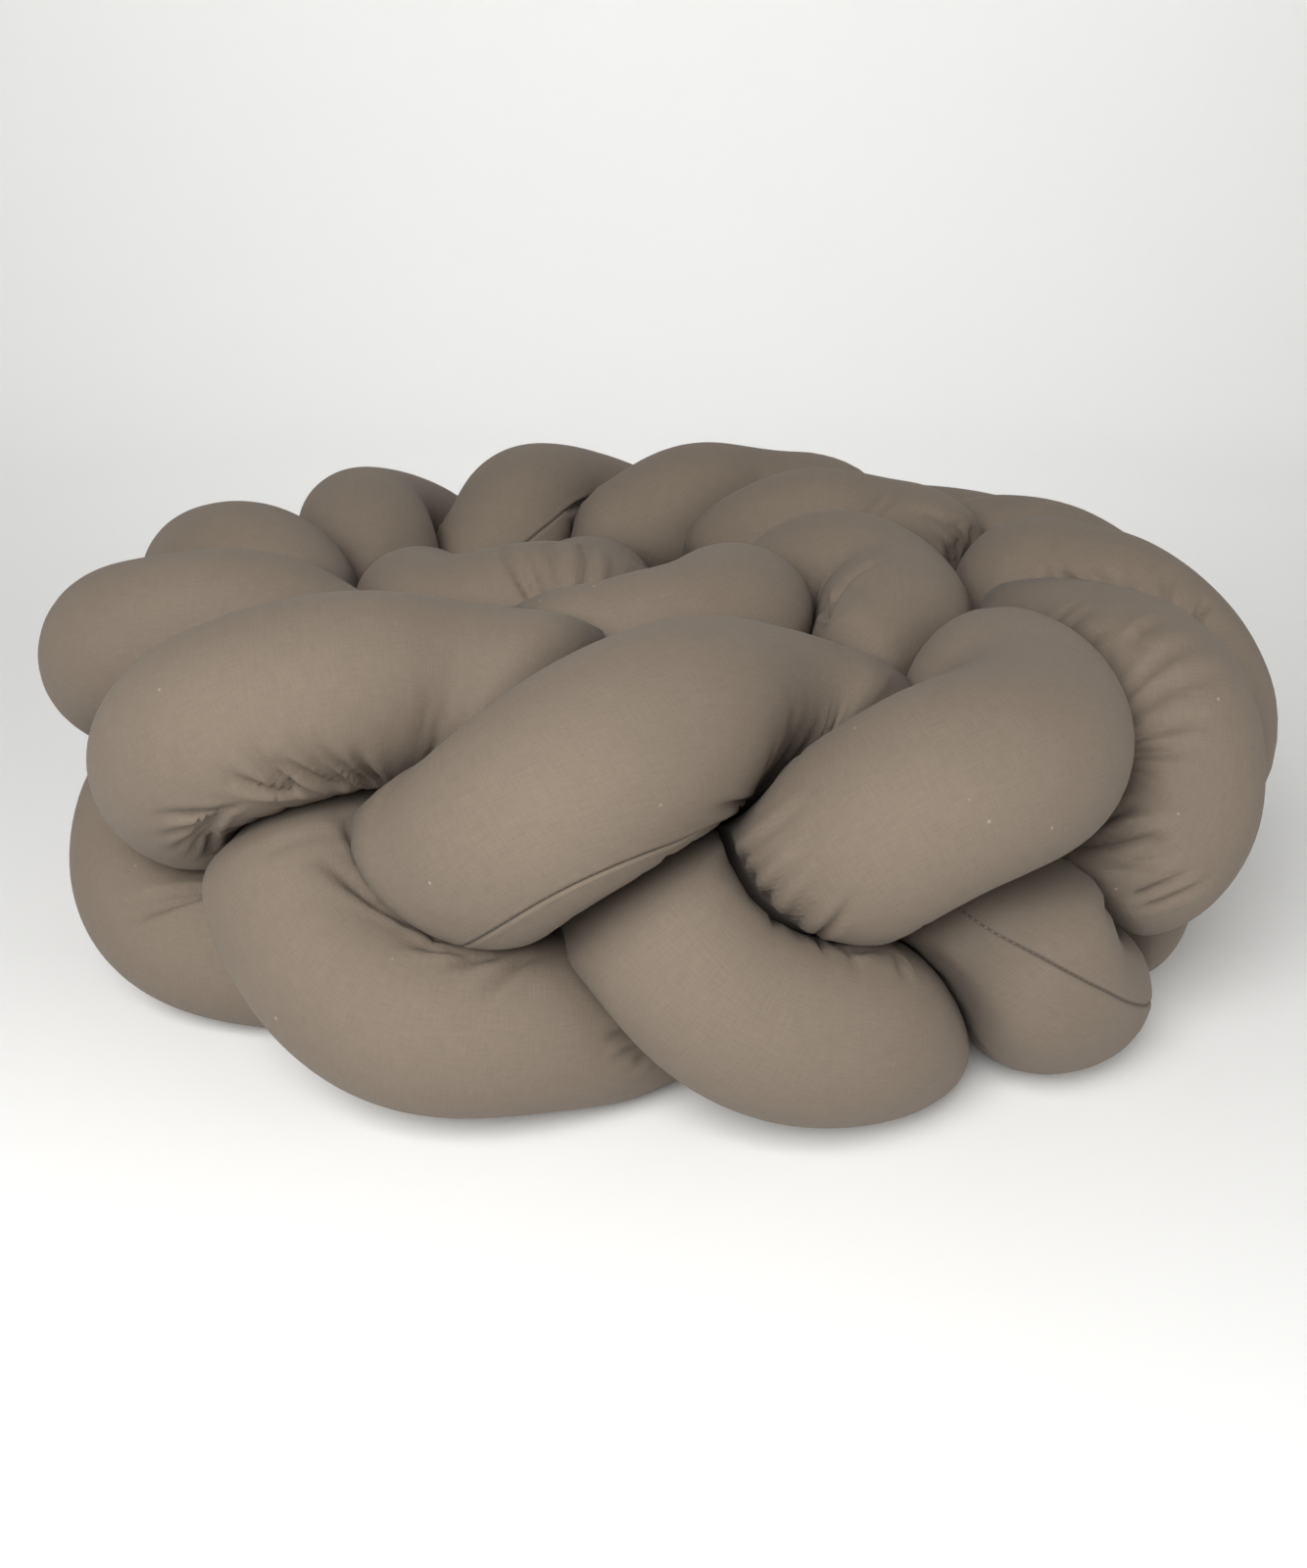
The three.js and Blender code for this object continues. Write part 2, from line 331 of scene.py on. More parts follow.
def strand_line(sizes, strand):
    """One strand's middle line: over, under and through the plait in turn."""
    places = round((FINISH - START) * PLACES_PER_CROSSING)
    at = np.linspace(START, FINISH, places + 1)
    phase = math.pi / 2 + TURN * (at - strand) / len(TUBES)
    along = unit(middle(at + CROSSING_STEP) - middle(at - CROSSING_STEP))
    out = np.stack([along[:, 1], -along[:, 0], 0 * at], 1)
    lean = np.radians(column("lean", at))[:, None]
    up = np.array([0, 0, 1.0])
    width = up * np.cos(lean) + out * np.sin(lean)
    through = out * np.cos(lean) - up * np.sin(lean)
    line = middle(at) + up * column("height", at)[:, None] * MM
    line += width * (column("spread", at) * MM * np.sin(phase))[:, None]
    line += along * (column("shear", at) * MM * np.sin(phase))[:, None]
    return line + through * (sizes.swing * np.sin(2 * phase))[:, None]


def lengths(line):
    """Length along a line up to each of its points."""
    return np.concatenate([[0], np.cumsum(np.linalg.norm(np.diff(line, axis=0), axis=1))])


def respaced(line, spacing):
    """The same line with evenly spaced points."""
    sums = lengths(line)
    count = max(1, round(sums[-1] / spacing))
    at = np.linspace(0, sums[-1], count + 1)
    return np.stack([np.interp(at, sums, line[:, k]) for k in range(3)], 1)


def rounded(line):
    """One pass of rounding: each inner point moves halfway to the middle of its neighbours."""
    out = line.copy()
    out[1:-1] = 0.5 * line[1:-1] + 0.25 * (line[:-2] + line[2:])
    return out


def settled(lines):
    """Lets the middle lines push each other apart, keeping their length, their place and the floor."""
    paths = [respaced(line, SETTLE_STEP) for line in lines]
    sizes = [len(path) for path in paths]
    ends = np.cumsum(sizes)[:-1]
    p = np.concatenate(paths)
    home = p.copy()
    strand = np.repeat(np.arange(len(paths)), sizes)
    place = np.concatenate([np.arange(n) for n in sizes])
    spans = [np.linalg.norm(np.diff(path, axis=0), axis=1) for path in paths]
    near_self = (strand[:, None] == strand) & (abs(place[:, None] - place) * SETTLE_STEP < SETTLE_APART)
    for _ in range(SETTLE_ROUNDS):
        apart = p[:, None] - p
        gap = np.linalg.norm(apart, axis=2)
        press = PUSH * (SETTLE_NEAR - gap) / (2 * np.maximum(gap, TINY))
        press = np.where(near_self | (gap >= SETTLE_NEAR), 0, press)
        p = p + (apart * press[:, :, None]).sum(1)
        for path, span in zip(np.split(p, ends), spans):
            link = np.diff(path, axis=0)
            now = np.linalg.norm(link, axis=1)
            pull = link * (STRETCH * (now - span) / now)[:, None]
            path[:-1] += pull
            path[1:] -= pull
            bend = (0.5 * (path[:-2] + path[2:]) - path[1:-1]) * BEND
            path[1:-1] += bend
            path[:-2] -= bend / 2
            path[2:] -= bend / 2
        p += (home - p) * HOLD
        p[:, 2] = np.maximum(p[:, 2], SETTLE_LOWEST)
    return [rounded(rounded(path)) for path in np.split(p, ends)]


def shifted(paths):
    """The settled middle lines with the small shifts of SHIFTS."""
    moved = [path.copy() for path in paths]
    for tube, place, reach, shift in SHIFTS:
        share = np.exp(-((lengths(paths[tube]) - place * MM) / (reach * MM)) ** 2 / 2)
        moved[tube] += share[:, None] * np.array(shift) * MM
    return moved


def smooth_points(path, at):
    """Points and headings at lengths along a path, on a smooth curve through its points."""
    sums = lengths(path)
    slopes = np.gradient(path, sums, axis=0)
    i = np.clip(np.searchsorted(sums, at, side="right") - 1, 0, len(path) - 2)
    span = (sums[i + 1] - sums[i])[:, None]
    t = (at - sums[i])[:, None] / span
    points = bowed(path[i], path[i + 1], slopes[i] * span, slopes[i + 1] * span, t)
    return points, unit(slopes[i] * (1 - t) + slopes[i + 1] * t)


def stations(sizes, total, spacing):
    """Lengths at which the sections stand, and how full each is: less than 1 at the gathered ends."""
    end = sizes.end_length
    lift = np.linspace(0, 1, END_RINGS + 1)[1:] * math.pi / 2
    near = end * (1 - np.cos(lift))
    count = round((total - 2 * end) / spacing)
    body = np.linspace(end, total - end, count + 1)[1:-1]
    at = np.concatenate([near, body, total - near[::-1]])
    full = np.concatenate([np.sin(lift), np.ones(count - 1), np.sin(lift)[::-1]])
    return at, full


def carried_sides(headings):
    """A side direction for each heading, carried along the line without turning about it."""
    side = np.array([0, 0, 1.0])
    sides = []
    for heading in headings:
        side = side - heading * (side @ heading)
        side = side / np.linalg.norm(side)
        sides.append(side)
    return np.array(sides)


def section_axes(path, at):
    """Middles and headings of a tube's sections, and two directions across each of them."""
    middles, headings = smooth_points(path, at)
    sides = carried_sides(headings)
    return middles, headings, sides, np.cross(headings, sides)


def outwards(sides, across, angle):
    """Directions at angles around the sections."""
    return sides[:, None] * np.cos(angle)[..., None] + across[:, None] * np.sin(angle)[..., None]


def reaches(sizes, middles, at, directions, paths, strand):
    """How far a tube can reach in each direction before a neighbour or itself stops it, before a
    neighbour alone does, and before the floor does."""
    sites, shares, own_at = [], [], []
    for k, path in enumerate(paths):
        total = lengths(path)[-1]
        places = np.linspace(0, total, round(total / SITE_SPACING) + 1)
        sites.append(smooth_points(path, places)[0])
        shares.append(np.full(len(places), OWN_SHARE if k == strand else 1.0))
        own_at.append(places if k == strand else np.full(len(places), np.inf))
    sites, shares, own_at = (np.concatenate(a) for a in (sites, shares, own_at))
    out = np.full(directions.shape[:2], FARTHEST)
    others = out.copy()
    for i, (p, s) in enumerate(zip(middles, at)):
        off = sites - p
        square = (off * off).sum(1)
        pressing = (square < SITE_RANGE ** 2) & (abs(own_at - s) > OWN_REACH)
        toward = directions[i] @ off[pressing].T
        limit = shares[pressing] * square[pressing] / (2 * np.maximum(toward, FACING))
        limit = np.where(toward > FACING, limit, FARTHEST)
        out[i] = limit.min(1, initial=FARTHEST)
        others[i] = limit[:, shares[pressing] == 1].min(1, initial=FARTHEST)
    out -= sizes.clearance / 2
    others -= sizes.clearance / 2
    down = -directions[:, :, 2]
    floor = np.where(down > FACING, middles[:, None, 2] / np.maximum(down, FACING), FARTHEST)
    return out, others, floor


def stuffed(sizes, limits, full):
    """Radii of the sections. Each keeps its girth, and bends evenly wherever nothing stops it."""
    angle = even_angles(limits.shape[1])
    cos, sin = np.cos(angle), np.sin(angle)
    girth = TURN * sizes.radius * full
    limits = np.minimum(limits, WIDEST * sizes.radius * full[:, None])
    r = np.minimum(limits, sizes.radius * full[:, None])
    for _ in range(SECTION_ROUNDS):
        x, y = r * cos, r * sin
        ahead_x, ahead_y = np.roll(x, -1, 1), np.roll(y, -1, 1)
        back_x, back_y = np.roll(x, 1, 1), np.roll(y, 1, 1)
        now = np.hypot(ahead_x - x, ahead_y - y).sum(1)
        edge = np.hypot(ahead_x - back_x, ahead_y - back_y)
        nx, ny = (ahead_y - back_y) / edge, (back_x - ahead_x) / edge
        bent = (2 * x - ahead_x - back_x) * nx + (2 * y - ahead_y - back_y) * ny
        free = r < limits - FREE
        even = (bent * free).sum(1) / np.maximum(free.sum(1), 1)
        move = SECTION_RATE * (even[:, None] - bent) + (GIRTH_RATE * (girth - now) / TURN)[:, None]
        r = r + move / np.maximum(nx * cos + ny * sin, STEEPEST)
        r[1:-1] += LENGTHWISE * (0.5 * (r[:-2] + r[2:]) - r[1:-1]) * (full[1:-1, None] > FULL)
        r = np.clip(r, THINNEST, limits)
    return r


def grid_normals(points):
    """Outward normals of a tube's grid of points."""
    along = np.gradient(points, axis=0)
    around = np.roll(points, -1, 1) - np.roll(points, 1, 1)
    return unit(np.cross(around, along))


# Each tube's seam: places along its middle line in millimetres, and degrees around it. It shows on the
# front of the second tube and at the back on the third, and elsewhere it lies out of sight.
SEAMS = (
    ((0, 235), (3130, 235)),
    ((0, 150), (1850, 150), (2065, 82), (2110, 93), (2140, 117), (2210, 140), (2280, 135), (2345, 97),
     (2365, 83), (2390, 72), (2500, 60), (3180, 60)),
    ((0, 190), (1000, 215), (1185, 246), (1225, 255), (1245, 268), (1270, 272), (1400, 240), (1700, 200),
     (2300, 165), (2500, 190), (3120, 200)),
)
SEAM_EASE = 8 * MM  # half the width of each step over which a seam's turns are rounded


def seam_angle(strand, at):
    """Where the seam runs around a tube, against the carried side direction."""
    places, angles = np.array(SEAMS[strand], float).T
    steps = (-1.5, -0.5, 0.5, 1.5)
    degrees = sum(np.interp(at + k * SEAM_EASE, places * MM, angles) for k in steps) / len(steps)
    return np.radians(degrees)


# The creases that show most, in rows: the tube, then where the first and the last crease of the row
# start (millimetres along the middle line, degrees around it), how many there are, which way the
# first and the last run (degrees: 0 is forwards along the tube, 90 is around it), their length and
# their depth in millimetres.
CREASES = (
    (0, (1905, 158), (1894, 172), 5, (208, 154), 44, 3.2),  # the fan inside the front left bend
    (0, (1925, 163), (1964, 179), 6, (228, 240), 38, 3.6),  # the slanted pleats beside it
    (1, (1857, 14), (1851, 27), 3, (165, 153), 46, 2.8),  # under the front left bend
    (2, (2002, 338), (1976, 324), 2, (180, 170), 56, 2.2),  # long folds beside the front middle strand
    (2, (2016, 347), (2040, 351), 3, (165, 135), 22, 2.4),  # below its lower end
    (1, (2168, 120), (2160, 126), 2, (179, 170), 38, 2.4),  # tucks under its seam
    (2, (2237, 338), (2243, 34), 6, (-18, -8), 34, 2.4),  # lower left end of the front right strand
    (0, (2230, 70), (2222, 64), 2, (119, 150), 13, 1.8),  # lip below it
    (2, (2073, 39), (2084, 54), 3, (184, 166), 19, 2.2),  # low in the middle of the front
    (0, (2450, 356), (2461, 42), 5, (-14, 2), 30, 3.4),  # lower inside of the right-hand strand
    (0, (2519, 348), (2488, 340), 5, (60, 84), 32, 3.6),  # upper inside of it
    (0, (298, 114), (316, 108), 6, (-128, -62), 46, 3.6),  # fan of the inner left strand
    (2, (562, 293), (582, 285), 4, (-30, 20), 34, 3.2),  # inner right strand
    (2, (1209, 249), (1198, 245), 2, (182, 192), 42, 2.0),  # back left
    (1, (1034, 268), (1014, 262), 3, (160, 138), 28, 2.4),  # back middle
    (0, (766, 54), (754, 38), 5, (-72, -44), 34, 3.2),  # inside the arch at the back
    (1, (2732, 219), (2692, 262), 6, (24, 52), 28, 3.4),  # back right
)

# The valley of a placed crease, in millimetres: its half width where it starts, and how much is added
# to that by its end. Its depth is a multiple of the one in its row.
VALLEY_WIDTH = 1.5
VALLEY_WIDENING = 1.6
VALLEY_DEPTH = 1.35
# Its two lips: height as a share of the depth, then place and width in valley widths
LIPS = ((0.42, 2.2, 1.3), (0.22, -2.2, 1.4))
LIP_KEPT = 1.2 * MM  # no lip stands in another crease's valley that is deeper than this
# Where it deepens and fades, in its own lengths from its start
DEEPENING = (-0.35, 0.05)
FADING = (0.25, 1)
# How far a crease may stray from its row: place in steps of the row, heading in degrees, bow, length
# and depth
PLACE_STRAY = 0.25
HEADING_STRAY = 6
BOW_STRAY = 0.12
LENGTH_STRAY = (0.75, 1.2)
DEPTH_STRAY = (0.75, 1.15)
# It marks only cloth that faces its way and lies no further above or below than these
SAME_FACING = 0.1
SAME_LEVEL = 0.6  # in crease lengths
SAME_LEVEL_MORE = 10 * MM

# Distances of the mesh columns beside the seam
SEAM_COLUMNS = np.array([0, 0.5, 1.2, 2.2, 3.6, 5.6]) * MM
# How much closer together the mesh stands at creases, and the round patch in which it does so: how far
# along a crease its middle lies, its size in crease lengths and millimetres, and how it falls off
CROWDING = 1.15
PATCH_PLACE = 0.4
PATCH_SIZE = 0.6
PATCH_MORE = 9
PATCH_FALL = 0.8
# How finely the crowding is looked at, along a tube, around it, and around a ring of the mesh
LOOKS_ALONG = 4000
LOOKS_AROUND = 72
LOOKS_ON_RING = 360


def crease_rows(strand):
    """The rows of CREASES that lie on one tube."""
    return [row[1:] for row in CREASES if row[0] == strand]


def between(first, last, share):
    """The value that lies so far from first to last."""
    return first + (last - first) * share


def crowded(sizes, strand, at, angle):
    """How much closer together the mesh stands for the creases that start near each point."""
    wanted = np.zeros(np.broadcast(at, angle).shape)
    for first, last, _, headings, length, _ in crease_rows(strand):
        run = PATCH_PLACE * length * MM
        size = (PATCH_SIZE * length + PATCH_MORE) * MM
        for (place, degrees), heading in zip((first, last), np.radians(headings)):
            off = at - place * MM - run * math.cos(heading)
            turn = angle - math.radians(degrees) - run * math.sin(heading) / sizes.radius
            aside = ((turn + math.pi) % TURN - math.pi) * sizes.radius
            far = (off ** 2 + aside ** 2) / size ** 2
            wanted = np.maximum(wanted, np.exp(-PATCH_FALL * far * far))
    return 1 + CROWDING * wanted


def crowded_stations(sizes, strand, at, spacing):
    """Lengths at which the mesh has its rings: those of the ends, and between them closer at creases."""
    places = np.linspace(at[END_RINGS - 1], at[-END_RINGS], LOOKS_ALONG)
    around = np.linspace(0, TURN, LOOKS_AROUND)
    close = crowded(sizes, strand, places[:, None], around).max(1)
    passed = np.concatenate([[0], np.cumsum(np.diff(places) * (close[1:] + close[:-1]) / 2)])
    count = round(passed[-1] / spacing)
    body = np.interp(np.linspace(0, passed[-1], count + 1)[1:-1], passed, places)
    return np.concatenate([at[:END_RINGS], body, at[-END_RINGS:]])


def column_angles(sizes, strand, at, seam_at):
    """Angles of the mesh columns from the seam, on each ring. They are closer beside it and at creases."""
    beside = SEAM_COLUMNS / sizes.radius
    rest = sizes.sides - 2 * len(beside) + 1
    far = np.linspace(beside[-1], TURN - beside[-1], LOOKS_ON_RING)
    close = crowded(sizes, strand, at[:, None], far + seam_at[:, None])
    passed = np.cumsum((close[:, 1:] + close[:, :-1]) / 2, 1)
    passed = np.concatenate([np.zeros((len(at), 1)), passed], 1)
    shares = np.linspace(0, 1, rest + 2)[1:-1]
    spread = np.array([np.interp(shares * row[-1], row, far) for row in passed])
    ring = np.ones((len(at), 1))
    return np.concatenate([ring * beside, spread, ring * (TURN - beside[:0:-1])], 1)


def one_crease(surface, normals, ring, column, heading, length, depth, rng):
    """Depth of a crease that starts at one point of a tube's grid, and the height of its lips."""
    beyond = (column + 1) % surface.shape[1]
    start, normal = surface[ring, column], normals[ring, column]
    along = unit(surface[ring + 1, column] - surface[ring - 1, column])
    around = unit(surface[ring, beyond] - surface[ring, column - 1])
    run = unit(along * math.cos(heading) + around * math.sin(heading))
    side = np.cross(normal, run)
    far = length * rng.uniform(*LENGTH_STRAY)
    off = surface - start
    u = off @ run / far
    bow = rng.uniform(-BOW_STRAY, BOW_STRAY) * far
    w = off @ side - bow * u * u
    width = (VALLEY_WIDTH + VALLEY_WIDENING * np.clip(u, 0, 1)) * MM
    level = abs(off @ normal) < SAME_LEVEL * far + SAME_LEVEL_MORE
    near = ((normals @ normal) > SAME_FACING) & level
    fade = smooth_step(*DEEPENING, u) * (1 - smooth_step(*FADING, u)) * near
    lips = sum(tall * np.exp(-((w - place * width) / (wide * width)) ** 2) for tall, place, wide in LIPS)
    valley = np.exp(-(w / width) ** 2)
    deepest = depth * rng.uniform(*DEPTH_STRAY) * fade
    return deepest * valley, deepest * lips


def placed_creases(strand, surface, normals, at, angle, rng):
    """Depth of the creases of CREASES on one tube. Each is a narrow valley with a lip on either side,
    deepest where it starts."""
    sunk = np.zeros(surface.shape[:2])
    raised = sunk.copy()
    for first, last, count, headings, length, depth in crease_rows(strand):
        stray = rng.uniform(-PLACE_STRAY, PLACE_STRAY, count) / max(count - 1, 1)
        turn = (last[1] - first[1] + 180) % 360 - 180
        for step in np.linspace(0, 1, count) + stray:
            place = between(first[0], last[0], step) * MM
            ring = int(np.clip(np.searchsorted(at, place), 1, len(at) - 2))
            column = int(np.argmax(np.cos(angle[ring] - np.radians(first[1] + turn * step))))
            heading = math.radians(between(*headings, step) + rng.uniform(-HEADING_STRAY, HEADING_STRAY))
            valley, lips = one_crease(surface, normals, ring, column, heading, length * MM,
                                      VALLEY_DEPTH * depth * MM, rng)
            sunk = np.maximum(sunk, valley)
            raised = np.maximum(raised, lips)
    return sunk - raised * (1 - smooth_step(0, LIP_KEPT, sunk))


# Unevenness over the flat cloth: the grid it is drawn on, and the sizes of its lumps
CLOTH_STEP = 1.5 * MM
CLOTH_COLUMNS = 96
SLACK_LUMPS = 55 * MM
NEAR_LUMPS = 26 * MM
FILLING_LUMPS = 95 * MM
FILLING_RISE = (0.5, 1)  # how full the section is where these begin and are highest
PLEAT_LUMPS = 40 * MM

# Gathers, main and fine: how much their pitch varies, how far they run around the tube, how narrow
# their valleys are, and how deep the fine ones are against the main ones
MAIN_GATHERS = (0.25, 38 * MM, 2.0)
FINE_GATHERS = (0.3, 18 * MM, 1.6)
FINE_DEPTH = 0.4
STRENGTHS = (0.25, 1.5)  # least and most of an uneven gather
# How the gathers come with spare cloth, and how they come and go with the nearness of a neighbour
SLACK_RISE = 0.2
MAIN_RISE = (0.02, 0.42)
MAIN_FALL = (0.45, 0.8)
FALLEN = 0.7
FINE_RISE = (0.2, 0.6)
# How much lumps shift these: spare cloth, nearness for the main gathers and for the fine ones
LUMPY_SLACK = 0.05
LUMPY_MAIN = 0.07
LUMPY_FINE = 0.1

OUTER_SHARE = 92  # the cloth is as long as this percentile of the gaps between two rings
OUTER_RINGS = 6  # rings on either side over which that length is evened
SLACK_BLUR = (2, 1)  # rings and columns over which the spare cloth is evened
NO_BULGE = (0.3, 0.6)  # over this range of nearness, cloth stops moving outwards

END_PLEATS = 26
PLEAT_DEPTH = 3.2 * MM
PLEAT_SHARP = 1.4
PLEAT_WANDER = 0.5
PLEAT_RISE = (FULL, 0.45)  # how full the section is where the pleats begin and are deepest
TIP_RISE = 2.2  # how soon they come up from the closed tip

GROOVE_WIDTH = 0.6 * MM
WELT_PLACE = 1.8 * MM  # the raised cloth beside the seam
WELT_WIDTH = 1.4 * MM
WELT_HEIGHTS = (0.3, 0.1)  # on either side, in depths of the groove


def cloth_lengths(surface, headings):
    """The cloth's length up to each ring, and which share of it is spare at each point. The cloth is
    as long as the outside of the bends needs it."""
    gap = abs((np.diff(surface, axis=0) * headings[:-1, None]).sum(2))
    outer = np.percentile(gap, OUTER_SHARE, axis=1)
    window = 2 * OUTER_RINGS + 1
    outer = np.convolve(np.pad(outer, OUTER_RINGS, mode="edge"), np.ones(window) / window, mode="valid")
    cloth = np.concatenate([[0], np.cumsum(outer)])
    gap = np.concatenate([gap, gap[-1:]])
    return cloth, blurred(1 - gap / np.append(outer, outer[-1])[:, None], *SLACK_BLUR)


class FlatCloth:
    """The cloth of one tube, unrolled. Uneven fields are drawn on it and read on the tube's grid."""

    def __init__(self, cloth, angles, girth, rng):
        self.shape = (int(cloth[-1] / CLOTH_STEP) + 2, CLOTH_COLUMNS)
        self.rows = cloth / CLOTH_STEP
        self.place = (angles / TURN * CLOTH_COLUMNS) % CLOTH_COLUMNS
        self.along = np.fft.fftfreq(self.shape[0], CLOTH_STEP)[:, None]
        self.around = np.fft.fftfreq(CLOTH_COLUMNS, girth / CLOTH_COLUMNS)[None, :]
        self.rng = rng

    def grain(self, share):
        """Noise of which each frequency keeps its share."""
        return np.fft.ifft2(np.fft.fft2(self.rng.standard_normal(self.shape)) * share)

    def on_tube(self, field):
        """A field of the flat cloth at the points of the tube's grid."""
        wrapped = sampled(np.concatenate([field, field[:, :1]], 1), self.rows)
        i = self.place.astype(int)
        t = self.place - i
        return np.take_along_axis(wrapped, i, 1) * (1 - t) + np.take_along_axis(wrapped, i + 1, 1) * t

    def lumps(self, size):
        """A smooth field with lumps of about one size."""
        field = self.grain(np.exp(-((self.along * size) ** 2 + (self.around * size) ** 2) * 3)).real
        return self.on_tube(field / field.std())

    def valleys(self, pitch, spread, tall, sharp):
        """Uneven valleys across the tube. They come from stripes as complex numbers, whose angle is
        the phase and whose size is the strength."""
        share = np.exp(-((self.along - 1 / pitch) * pitch / spread) ** 2 / 2) * (self.along > 0)
        field = self.grain(share * np.exp(-((self.around * tall) ** 2) * 2))
        field = self.on_tube(field / np.sqrt((abs(field) ** 2).mean()))
        return (1 - abs(np.sin(np.angle(field) / 2))) ** sharp * np.clip(abs(field), *STRENGTHS)


def gathered(gathers, flat, slack, met):
    """Depth of the gathers, which lie where cloth is spare and a neighbour near."""
    main = flat.valleys(gathers.pitch, *MAIN_GATHERS)
    fine = flat.valleys(gathers.fine_pitch, *FINE_GATHERS)
    slack = slack + LUMPY_SLACK * flat.lumps(SLACK_LUMPS)
    patches = flat.lumps(NEAR_LUMPS)
    spare = smooth_step(gathers.slack, gathers.slack + SLACK_RISE, slack)
    main_near = smooth_step(*MAIN_RISE, met + LUMPY_MAIN * patches)
    main_near *= 1 - FALLEN * smooth_step(*MAIN_FALL, met)
    fine_near = smooth_step(*FINE_RISE, met + LUMPY_FINE * patches)
    return gathers.depth * spare * (main_near * main + FINE_DEPTH * fine_near * fine)


def end_pleats(flat, angles, full):
    """Depth of the pleats that draw the ends together."""
    wander = PLEAT_WANDER * flat.lumps(PLEAT_LUMPS)
    pleat = (1 - abs(np.sin(END_PLEATS / 2 * angles + wander))) ** PLEAT_SHARP
    rise = smooth_step(*PLEAT_RISE, full) * np.clip(full * TIP_RISE, 0, 1)
    return PLEAT_DEPTH * pleat * rise[:, None]


def seam_relief(sizes, seam, angles):
    """Depth of the seam's groove and of the raised cloth beside it."""
    off = abs((angles + math.pi) % TURN - math.pi) * sizes.radius
    groove = np.exp(-(off / GROOVE_WIDTH) ** 2)
    welt = np.where(np.sin(angles) > 0, *WELT_HEIGHTS) * np.exp(-((off - WELT_PLACE) / WELT_WIDTH) ** 2)
    return seam.groove * (groove - welt)


def pressed(sizes, gathers, paths, strand):
    """Lengths at which a tube's mesh has its rings, and what its sections are like there: the radii in
    even directions, how near a neighbour is in each of them, and how full the section is."""
    path = paths[strand]
    at, full = stations(sizes, lengths(path)[-1], SHAPE_SPACING)
    middles, _, sides, across = section_axes(path, at)
    directions = outwards(sides, across, even_angles(SHAPE_SIDES))
    limits, others, floor = reaches(sizes, middles, at, directions, paths, strand)
    radii = stuffed(sizes, np.minimum(limits, floor), full)
    column_width = TURN * sizes.radius / SHAPE_SIDES
    touched = (radii > others - MET_WITHIN).astype(float)
    met = blurred(touched, gathers.nearness / SHAPE_SPACING, gathers.nearness / column_width)
    rings = crowded_stations(sizes, strand, at, sizes.ring_spacing * (1))
    rows = np.interp(rings, at, np.arange(len(at)))
    return rings, sampled(radii, rows), sampled(met, rows), np.interp(rings, at, full)


def tube_points(sizes, gathers, seam, paths, strand):
    """The grid of points of one stuffed tube, its tips, its normals, the cloth's length by ring, the
    angles of its columns from the seam, and how near a neighbour is."""
    path = paths[strand]
    at, radii, met, full = pressed(sizes, gathers, paths, strand)
    middles, headings, sides, across = section_axes(path, at)
    seam_at = seam_angle(strand, at)
    columns = column_angles(sizes, strand, at, seam_at)
    angle = columns + seam_at[:, None]
    surface = middles[:, None] + outwards(sides, across, angle) * around_seam(radii, angle)[:, :, None]
    surface[:, :, 2] = np.maximum(surface[:, :, 2], 0)
    normals = grid_normals(surface)
    met = around_seam(met, angle)
    rng = np.random.default_rng(gathers.seed + strand)
    depth = placed_creases(strand, surface, normals, at, angle, rng)
    cloth, slack = cloth_lengths(surface, headings)
    flat = FlatCloth(cloth, columns, TURN * sizes.radius, rng)
    depth += gathered(gathers, flat, slack, met)
    depth -= gathers.unevenness * flat.lumps(FILLING_LUMPS) * smooth_step(*FILLING_RISE, full)[:, None]
    depth += end_pleats(flat, columns, full) + seam_relief(sizes, seam, columns)
    depth *= np.where(depth > 0, 1, 1 - smooth_step(*NO_BULGE, met))
    points = surface - normals * depth[:, :, None]
    points[:, :, 2] = np.maximum(points[:, :, 2], 0)
    tips = smooth_points(path, np.array([0, lengths(path)[-1]]))[0]
    return points, tips, normals, cloth, columns, met


TIP_CLOTH = 2 * MM  # flat cloth between the last ring and the tip


